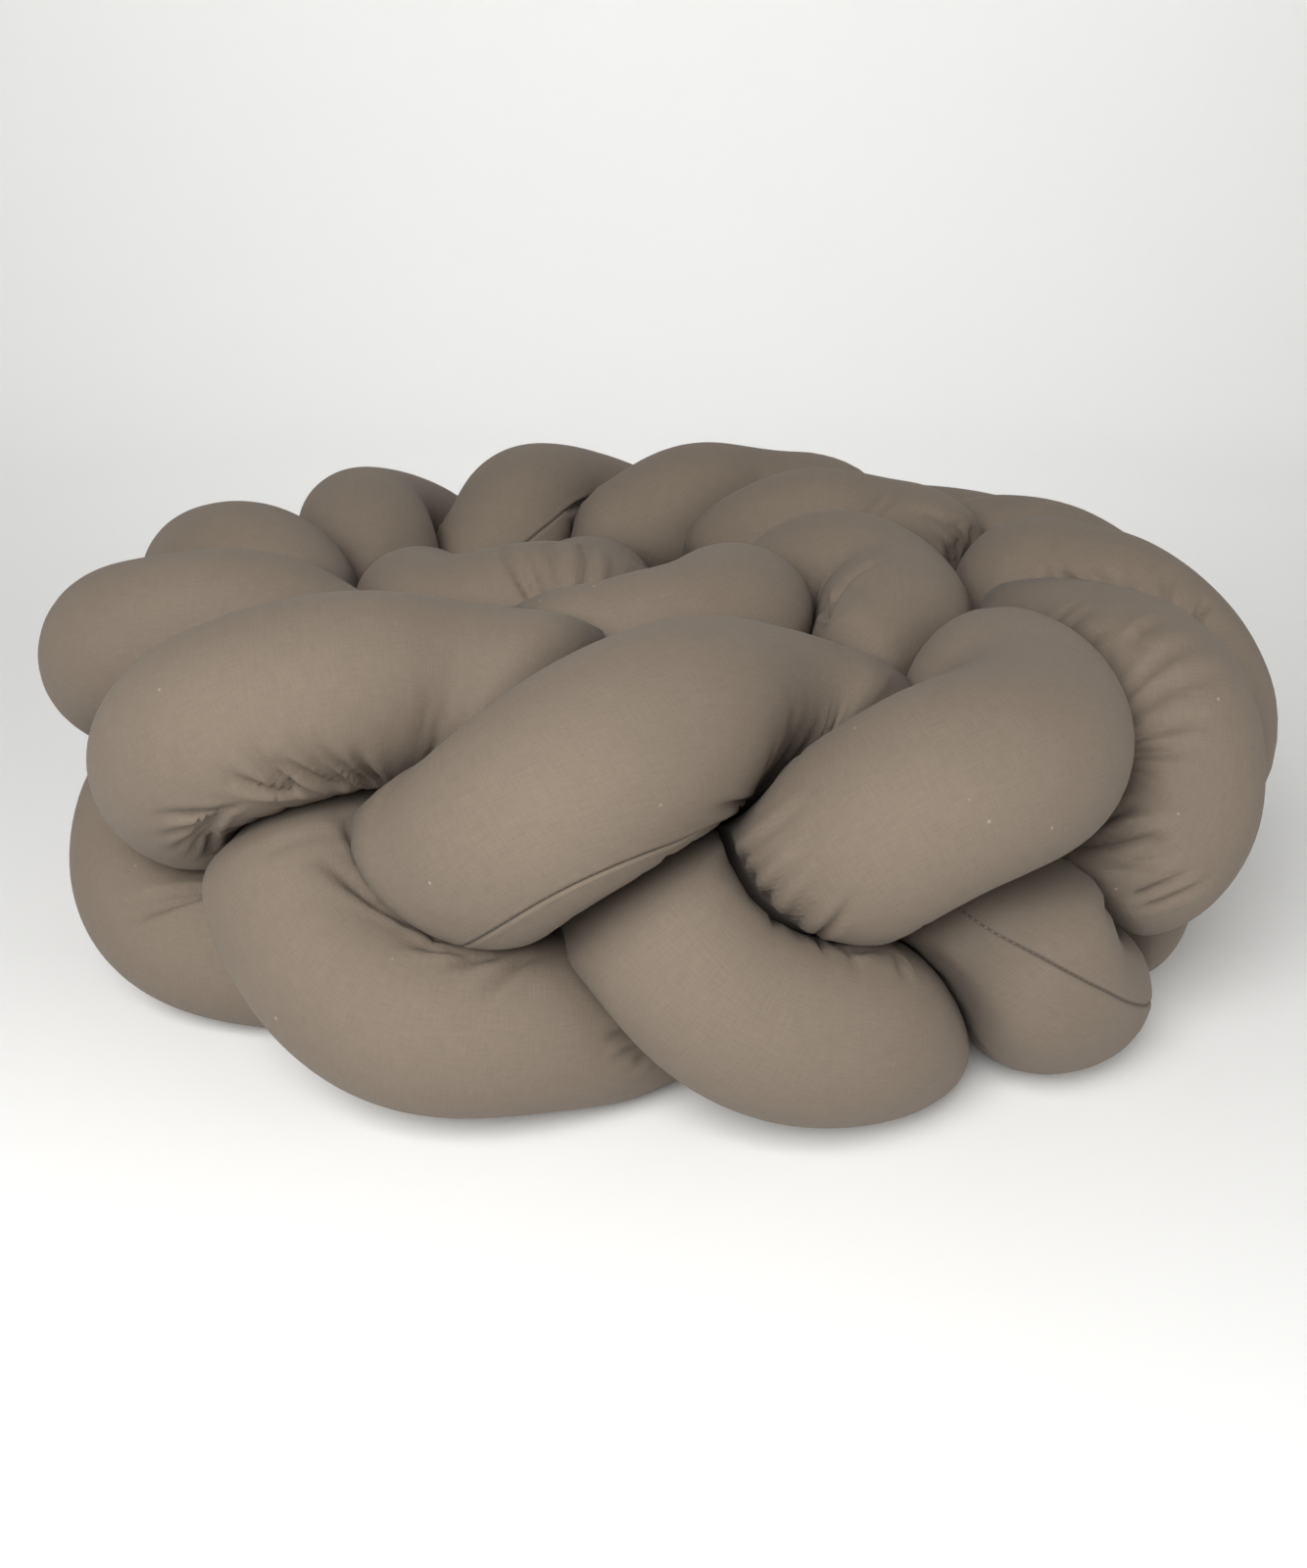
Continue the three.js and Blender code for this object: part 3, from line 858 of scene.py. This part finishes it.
def tube_mesh(name, sizes, points, tips, cloth, columns, met):
    """A closed mesh from a tube's grid, with a UV map in metres of flat cloth that is cut at the seam
    and an attribute that tells where shade is painted into the cloth, where tubes press on each other."""
    rings, sides = points.shape[:2]
    corner = np.arange(rings * sides).reshape(rings, sides)
    beside = np.roll(corner, -1, 1)
    quads = np.stack([corner[:-1], beside[:-1], beside[1:], corner[1:]], 2).reshape(-1, 4)
    first, last = rings * sides, rings * sides + 1
    fans = [np.stack([np.full(sides, first), beside[0], corner[0]], 1),
            np.stack([np.full(sides, last), corner[-1], beside[-1]], 1)]
    loops = np.concatenate([quads.ravel(), fans[0].ravel(), fans[1].ravel()])
    counts = np.concatenate([np.full(len(quads), 4), np.full(2 * sides, 3)])
    vertices = np.concatenate([points.reshape(-1, 3), tips])
    mesh = bpy.data.meshes.new(name)
    mesh.vertices.add(len(vertices))
    mesh.vertices.foreach_set("co", vertices.astype(np.float32).ravel())
    mesh.loops.add(len(loops))
    mesh.loops.foreach_set("vertex_index", loops.astype(np.int32))
    mesh.polygons.add(len(counts))
    mesh.polygons.foreach_set("loop_start", (np.cumsum(counts) - counts).astype(np.int32))
    mesh.polygons.foreach_set("use_smooth", np.ones(len(counts), bool))
    mesh.update(calc_edges=True)
    v = columns * sizes.radius
    v_next = np.concatenate([v[:, 1:], np.full((rings, 1), TURN * sizes.radius)], 1)
    u = np.repeat(cloth[:, None], sides, 1)
    here, beyond = np.stack([u, v], 2), np.stack([u, v_next], 2)
    quad_uv = np.stack([here[:-1], beyond[:-1], beyond[1:], here[1:]], 2)
    tip = np.array([TIP_CLOTH, 0])
    fan_uv = [np.stack([here[0] - tip, beyond[0], here[0]], 1),
              np.stack([here[-1] + tip, here[-1], beyond[-1]], 1)]
    uv = np.concatenate([quad_uv.reshape(-1, 2), fan_uv[0].reshape(-1, 2), fan_uv[1].reshape(-1, 2)])
    layer = mesh.uv_layers.new(name="cloth")
    layer.data.foreach_set("uv", uv.astype(np.float32).ravel())
    # Painted shade: how much darker the cloth is drawn near where a neighbour presses on it
    painted_contact_shade = np.concatenate([met.ravel(), [0, 0]]).astype(np.float32)
    mesh.attributes.new("tucked_in", "FLOAT", "POINT").data.foreach_set("value", painted_contact_shade)
    mesh.validate()
    return mesh


def linked(name, data):
    """A new object in the scene's collection."""
    made = bpy.data.objects.new(name, data)
    bpy.context.scene.collection.objects.link(made)
    return made


class Wire:
    """One output socket of a node tree. Arithmetic on it adds Math nodes."""

    def __init__(self, web, socket):
        self.web = web
        self.socket = socket

    def maths(self, operation, *values):
        sockets = {k: value for k, value in enumerate((self, *values))}
        return self.web.node("ShaderNodeMath", {"operation": operation}, sockets)

    def __add__(self, other):
        return self.maths("ADD", other)

    def __sub__(self, other):
        return self.maths("SUBTRACT", other)

    def __mul__(self, other):
        return self.maths("MULTIPLY", other)

    def __truediv__(self, other):
        return self.maths("DIVIDE", other)

    def __rsub__(self, other):
        return self.web.node("ShaderNodeMath", {"operation": "SUBTRACT"}, {0: other, 1: self})

    __radd__ = __add__
    __rmul__ = __mul__


class Web:
    """A node tree. All its nodes come from one method."""

    def __init__(self, tree):
        self.tree = tree

    def node(self, kind, settings=None, sockets=None, output=0):
        """Adds a node: its settings first, then the values or wires of its input sockets."""
        made = self.tree.nodes.new(kind)
        for key, value in (settings or {}).items():
            if key == "stops":
                ramp(made, value)
            else:
                setattr(made, key, value)
        for key, value in (sockets or {}).items():
            self.put(made.inputs[key], value)
        return Wire(self, made.outputs[output])

    def put(self, socket, value):
        """Links a wire to a socket, or sets the socket's own value."""
        if isinstance(value, Wire):
            self.tree.links.new(value.socket, socket)
        else:
            socket.default_value = value


class Finish(Web):
    """A material and its node tree."""

    def __init__(self, name):
        self.material = bpy.data.materials.new(name)
        self.material.use_nodes = True
        super().__init__(self.material.node_tree)

    def grain(self, scale, detail):
        """Noise in the object's own space."""
        body = self.node("ShaderNodeTexCoord", output=3)
        return self.node("ShaderNodeTexNoise", sockets={"Vector": body, "Scale": scale, "Detail": detail})

    def mixed(self, factor, first, second):
        """A mix of two colours, which are sockets 6 and 7 of its node."""
        return self.node("ShaderNodeMix", {"data_type": "RGBA"}, {"Factor": factor, 6: first, 7: second}, 2)

    def rise(self, value, low, high, top):
        """0 where a value is low, top where it is high, and a smooth rise between them."""
        return self.node("ShaderNodeMapRange", {"interpolation_type": "SMOOTHSTEP"}, {
            "Value": value, "From Min": low, "From Max": high, "To Min": 0.0, "To Max": top})

    def finish(self, **sockets):
        """Sets sockets of the main shader, with _ for a space in their names."""
        for key, value in sockets.items():
            self.put(self.tree.nodes["Principled BSDF"].inputs[key.replace("_", " ")], value)
        return self.material


def ramp(node, stops):
    """Sets the stops of a colour ramp: places and grey values."""
    elements = node.color_ramp.elements
    while len(elements) < len(stops):
        elements.new(0.5)
    for element, (place, grey) in zip(elements, stops):
        element.position = place
        element.color = (grey, grey, grey, 1)


def colour(rgb, share=1):
    """A colour property, or so much of it, with full alpha."""
    return (*(share * c for c in rgb), 1)


# Lengths of the cotton's slubs along and around a tube, their width, and the size of its flecks
LONG_SLUB = 11 * MM
CROSS_SLUB = 10 * MM
YARN = 0.7 * MM
FLECK = 1.6 * MM
# Where the painted shade on the cloth begins and is darkest: distance from the seam, and nearness of a
# neighbour
SEAM_SHADOW = (0.7 * MM, 0.25 * MM)
CONTACT_SHADE_RISE = (0.2, 0.65)
SHADOW = 0.3  # the darkest painted shade, as a share of the shade colour
SEAM_DARKNESS = 0.75


def cotton(look, girth):
    """The plain-woven, uneven, slightly fuzzy cotton of the tubes. Shade is painted into its colour along
    the pressed seam and where tubes press on each other."""
    web = Finish("cotton")
    cloth = web.node("ShaderNodeUVMap", {"uv_map": "cloth"})
    along = web.node("ShaderNodeSeparateXYZ", sockets={0: cloth})
    around = web.node("ShaderNodeSeparateXYZ", sockets={0: cloth}, output=1)
    warp = (along * (TURN / look.weave)).maths("SINE")
    weft = (around * (TURN / look.weave)).maths("SINE")
    threads = (warp.maths("ABSOLUTE") + weft.maths("ABSOLUTE")) * 0.5

    def slubs(lengthwise, crosswise, detail):
        stretched = web.node("ShaderNodeVectorMath", {"operation": "MULTIPLY"},
                             {0: cloth, 1: (1 / lengthwise, 1 / crosswise, 1)})
        return web.node("ShaderNodeTexNoise", {"noise_dimensions": "2D"},
                        {"Vector": stretched, "Scale": 1.0, "Detail": detail, "Roughness": 0.6})

    yarn = (slubs(LONG_SLUB, YARN, 2.0) + slubs(YARN, CROSS_SLUB, 2.0) - 1.0) * 1.5 + 0.5
    flecks = slubs(FLECK, FLECK, 3.0)
    mottle = web.grain(22.0, 4.0)
    fuzz = web.grain(1500.0, 2.0)
    tone = threads * 0.2 + yarn * 0.4 + flecks * 0.22 + mottle * 0.26 - 0.07
    tone = web.node("ShaderNodeClamp", sockets={"Value": tone})
    base = web.mixed(tone, colour(look.shade), colour(look.colour))
    body = web.node("ShaderNodeTexCoord", output=3)
    specks = web.node("ShaderNodeTexVoronoi", {"feature": "F1"},
                      {"Vector": body, "Scale": 34.0, "Randomness": 1.0})
    lint = web.node("ShaderNodeValToRGB", {"stops": ((0.0, 1.0), (0.035, 0.0))}, {0: specks})
    lint = web.node("ShaderNodeRGBToBW", sockets={0: lint}) * 0.5
    base = web.mixed(lint, base, colour(look.lint))
    shadow = colour(look.shade, SHADOW)
    # Painted shade: the cloth is drawn darker along the seam's groove
    from_seam = 0.5 * girth - (around / girth - 0.5).maths("ABSOLUTE") * girth
    base = web.mixed(web.rise(from_seam, *SEAM_SHADOW, SEAM_DARKNESS), base, shadow)
    # Painted shade: the cloth is drawn darker where tubes press on each other
    tucked_in = web.node("ShaderNodeAttribute", {"attribute_name": "tucked_in"}, output=2)
    base = web.mixed(web.rise(tucked_in, *CONTACT_SHADE_RISE, look.painted_contact_shade), base, shadow)
    height = warp * weft * 0.14 + yarn * 0.5 + fuzz * 0.3
    bump = web.node("ShaderNodeBump", sockets={"Strength": 0.55, "Distance": 0.35 * MM, "Height": height})
    return web.finish(Base_Color=base, Roughness=tone * 0.1 + 0.78, Normal=bump, Sheen_Weight=look.sheen,
                      Sheen_Roughness=0.5, Sheen_Tint=(0.9, 0.86, 0.8, 1), Specular_IOR_Level=0.45)


def sewing_thread(look):
    """The matt cotton thread of the seams."""
    web = Finish("sewing_thread")
    grain = web.grain(900.0, 2.0)
    base = web.mixed(grain, colour(look.thread, 0.6), colour(look.thread))
    bump = web.node("ShaderNodeBump", sockets={"Strength": 0.4, "Distance": 0.1 * MM, "Height": grain})
    return web.finish(Base_Color=base, Roughness=grain * 0.1 + 0.65, Normal=bump)


def plain(name, rgb, roughness):
    """A matt material of one slightly uneven colour."""
    web = Finish(name)
    base = web.mixed(web.grain(3.0, 3.0), colour(rgb, 0.985), colour(rgb))
    return web.finish(Base_Color=base, Roughness=roughness)


# What the stitches are given: names and kinds of sockets
STITCH_SOCKETS = (("Seam", "Geometry"), ("Pitch", "Float"), ("Length", "Float"), ("Thread", "Float"),
                  ("Seed", "Int"), ("Material", "Material"))
STITCH_LENGTHS = (0.85, 1.08)  # shortest and longest stitch, as shares of the usual one
STITCH_SEED = 3


def stitch_tree():
    """A Geometry Nodes tree that sews stitches along the edges of a mesh, lying on its normals."""
    tree = bpy.data.node_groups.new("stitches", "GeometryNodeTree")
    for name, kind in STITCH_SOCKETS:
        tree.interface.new_socket(name, in_out="INPUT", socket_type=f"NodeSocket{kind}")
    tree.interface.new_socket("Stitches", in_out="OUTPUT", socket_type="NodeSocketGeometry")
    web = Web(tree)
    given = tree.nodes.new("NodeGroupInput").outputs
    seam, pitch, length, thread, seed, material = (Wire(web, given[name]) for name, _ in STITCH_SOCKETS)
    curve = web.node("GeometryNodeMeshToCurve", sockets={"Mesh": seam})
    even = web.node("GeometryNodeResampleCurve", {"mode": "LENGTH"}, {"Curve": curve, "Length": pitch})
    normal = web.node("GeometryNodeInputNamedAttribute", {"data_type": "FLOAT_VECTOR"}, {"Name": "lies_on"})
    tangent = web.node("GeometryNodeInputTangent")
    turned = web.node("FunctionNodeAxesToRotation", {"primary_axis": "X", "secondary_axis": "Z"},
                      {"Primary Axis": tangent, "Secondary Axis": normal})
    bead = web.node("GeometryNodeMeshUVSphere", sockets={"Segments": 6, "Rings": 4, "Radius": 0.5})
    uneven = web.node("FunctionNodeRandomValue", {"data_type": "FLOAT"}, {"Seed": seed}, 1)
    shortest, longest = STITCH_LENGTHS
    stretch = web.node("ShaderNodeMapRange", sockets={
        "Value": uneven, "To Min": shortest, "To Max": longest})
    size = web.node("ShaderNodeCombineXYZ", sockets={0: length * stretch, 1: thread, 2: thread})
    sewn = web.node("GeometryNodeInstanceOnPoints", sockets={
        "Points": even, "Instance": bead, "Rotation": turned, "Scale": size})
    real = web.node("GeometryNodeRealizeInstances", sockets={"Geometry": sewn})
    done = web.node("GeometryNodeSetMaterial", sockets={"Geometry": real, "Material": material})
    web.put(tree.nodes.new("NodeGroupOutput").inputs[0], done)
    return tree


def sewn_mesh(seams, seam, thread):
    """The stitches of all seams as one plain mesh. seams holds points and normals along each seam."""
    points = np.concatenate([line - normal * seam.sink for line, normal in seams])
    normals = np.concatenate([normal for _, normal in seams])
    edges, start = [], 0
    for line, _ in seams:
        edges += [(start + i, start + i + 1) for i in range(len(line) - 1)]
        start += len(line)
    mesh = bpy.data.meshes.new("seam_path")
    mesh.from_pydata(points.tolist(), edges, [])
    lies_on = mesh.attributes.new("lies_on", "FLOAT_VECTOR", "POINT")
    lies_on.data.foreach_set("vector", normals.astype(np.float32).ravel())
    path = linked("seam_path", mesh)
    tree = stitch_tree()
    modifier = path.modifiers.new("Stitches", "NODES")
    modifier.node_group = tree
    values = {"Pitch": seam.pitch, "Length": seam.length, "Thread": seam.thread,
              "Seed": STITCH_SEED, "Material": thread}
    for item in tree.interface.items_tree:
        if item.in_out == "INPUT" and item.name in values:
            modifier[item.identifier] = values[item.name]
    bpy.context.view_layer.update()
    made = bpy.data.meshes.new_from_object(path.evaluated_get(bpy.context.evaluated_depsgraph_get()))
    made.name = "seam_stitches"
    bpy.data.objects.remove(path)
    made.polygons.foreach_set("use_smooth", np.ones(len(made.polygons), bool))
    return made


SEWN = []  # points and normals along each seam, kept by the tubes for the stitches


class BUMPER_OT_plait_tubes(bpy.types.Operator):
    """Builds the three stuffed tubes of the plait"""

    bl_idname = "bumper.plait_tubes"
    bl_label = "Plait the Tubes"

    def execute(self, context):
        sizes = context.scene.bumper_tubes
        gathers = context.scene.bumper_gathers
        seam = context.scene.bumper_seams
        paths = shifted(settled([strand_line(sizes, strand) for strand in range(len(TUBES))]))
        cloth_finish = cotton(context.scene.bumper_cloth, TURN * sizes.radius)
        SEWN.clear()
        for strand, node in enumerate(TUBES):
            points, tips, normals, cloth, columns, met = tube_points(sizes, gathers, seam, paths, strand)
            mesh = tube_mesh(f"stuffed_{node}", sizes, points, tips, cloth, columns, met)
            mesh.materials.append(cloth_finish)
            tube = linked(f"stuffed_{node}", mesh)
            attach(tube, BODY)
            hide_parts(node)
            SEWN.append((points[:, 0], normals[:, 0]))
        return {"FINISHED"}


class BUMPER_OT_sew_seams(bpy.types.Operator):
    """Sews the lengthwise seam of each tube"""

    bl_idname = "bumper.sew_seams"
    bl_label = "Sew the Seams"

    def execute(self, context):
        if not SEWN:
            raise RuntimeError("the tubes are not there to sew: plait them first")
        mesh = sewn_mesh(SEWN, context.scene.bumper_seams, sewing_thread(context.scene.bumper_cloth))
        stitches = linked("seam_stitches", mesh)
        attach(stitches, BODY)
        return {"FINISHED"}


BOWL_SIDES = 96
BOWL_STEPS = 24  # faces in the curve between floor and wall
AIM = (0, 0, 0.1)
# The lights: name, place, what each faces, width, and the stage's property that is its power
LIGHTS = (
    ("key_light", (-0.3, -1.1, 0.86), AIM, 0.8, "key"),
    ("fill_light", (1.3, -1.1, 0.5), AIM, 0.9, "fill"),
    ("top_light", (0, 0.3, 1.8), AIM, 1.4, "top"),
    ("backdrop_light", (0, 1.0, 1.9), (0, 2.7, 0.9), 1.6, "backdrop"),
)
AROUND_TINT = (1, 0.96, 0.9, 1)
SENSOR_HEIGHT = 36  # millimetres
NEAREST = 0.02  # nothing nearer to the camera shows


def area_light(name, place, target, width, power):
    """A soft square light that faces its target."""
    light = bpy.data.lights.new(name, "AREA")
    light.shape = "SQUARE"
    light.size = width
    light.energy = power
    made = linked(name, light)
    made.location = place
    made.rotation_euler = (Vector(target) - Vector(place)).to_track_quat("-Z", "Y").to_euler()


def bowl_mesh(stage):
    """A round floor that turns up into a wall all around in one wide curve."""
    turns = np.linspace(0, math.pi / 2, BOWL_STEPS + 1)
    profile = [*zip(stage.depth + stage.bend * np.sin(turns), stage.bend * (1 - np.cos(turns)))]
    profile.append((stage.depth + stage.bend, stage.bend + stage.wall))
    around = np.linspace(0, TURN, BOWL_SIDES, endpoint=False)
    corners = [(0, 0, 0), *((r * math.cos(a), r * math.sin(a), z) for r, z in profile for a in around)]
    faces = [(0, 1 + k, 1 + (k + 1) % BOWL_SIDES) for k in range(BOWL_SIDES)]
    for i in range(len(profile) - 1):
        ring = 1 + i * BOWL_SIDES
        for k in range(BOWL_SIDES):
            beside = (k + 1) % BOWL_SIDES
            faces.append((ring + k, ring + BOWL_SIDES + k, ring + BOWL_SIDES + beside, ring + beside))
    mesh = bpy.data.meshes.new("floor")
    mesh.from_pydata(corners, [], faces)
    mesh.polygons.foreach_set("use_smooth", np.ones(len(faces), bool))
    return mesh


def stage_camera(stage):
    """The camera, where the photograph was taken from."""
    data = bpy.data.cameras.new("camera")
    data.sensor_fit = "VERTICAL"
    data.sensor_height = SENSOR_HEIGHT
    data.lens = stage.focal_pixels / stage.frame_height * SENSOR_HEIGHT
    data.clip_start = NEAREST
    camera = linked("camera", data)
    camera.location = stage.camera
    camera.rotation_euler = (math.pi / 2 - stage.pitch, 0, 0)
    return camera


class BUMPER_OT_set_stage(bpy.types.Operator):
    """Lays the floor and sets the lights and the camera"""

    bl_idname = "bumper.set_stage"
    bl_label = "Set the Stage"

    def execute(self, context):
        stage = context.scene.bumper_stage
        floor = linked("floor", bowl_mesh(stage))
        floor.data.materials.append(plain("pale_floor", stage.floor, 0.9))
        for name, place, target, width, power in LIGHTS:
            area_light(name, place, target, width, getattr(stage, power))
        world = bpy.data.worlds.new("studio")
        world.use_nodes = True
        background = world.node_tree.nodes["Background"]
        background.inputs["Color"].default_value = AROUND_TINT
        background.inputs["Strength"].default_value = stage.around
        context.scene.world = world
        context.scene.view_settings.view_transform = "Standard"
        context.scene.camera = stage_camera(stage)
        return {"FINISHED"}


class BUMPER_PT_panel(bpy.types.Panel):
    """Lists the steps that build the bumper"""

    bl_idname = "BUMPER_PT_panel"
    bl_label = "Crib Bumper"
    bl_space_type = "VIEW_3D"
    bl_region_type = "UI"
    bl_category = "Bumper"

    def draw(self, context):
        for operator in OPERATORS:
            self.layout.operator(operator.bl_idname)


OPERATORS = (BUMPER_OT_plait_tubes, BUMPER_OT_sew_seams, BUMPER_OT_set_stage)
POINTERS = {
    "bumper_tubes": BumperTubeSizes,
    "bumper_gathers": BumperGathers,
    "bumper_seams": BumperSeamSizes,
    "bumper_cloth": BumperClothLook,
    "bumper_stage": BumperStage,
}
CLASSES = (*POINTERS.values(), *OPERATORS, BUMPER_PT_panel)


def register():
    for cls in CLASSES:
        bpy.utils.register_class(cls)
    for name, group in POINTERS.items():
        setattr(bpy.types.Scene, name, PointerProperty(type=group))


def unregister():
    for name in POINTERS:
        delattr(bpy.types.Scene, name)
    for cls in reversed(CLASSES):
        bpy.utils.unregister_class(cls)


def main():
    register()
    for operator in OPERATORS:
        family, name = operator.bl_idname.split(".")
        getattr(getattr(bpy.ops, family), name)()
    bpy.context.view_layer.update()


if __name__ == "__main__":
    main()
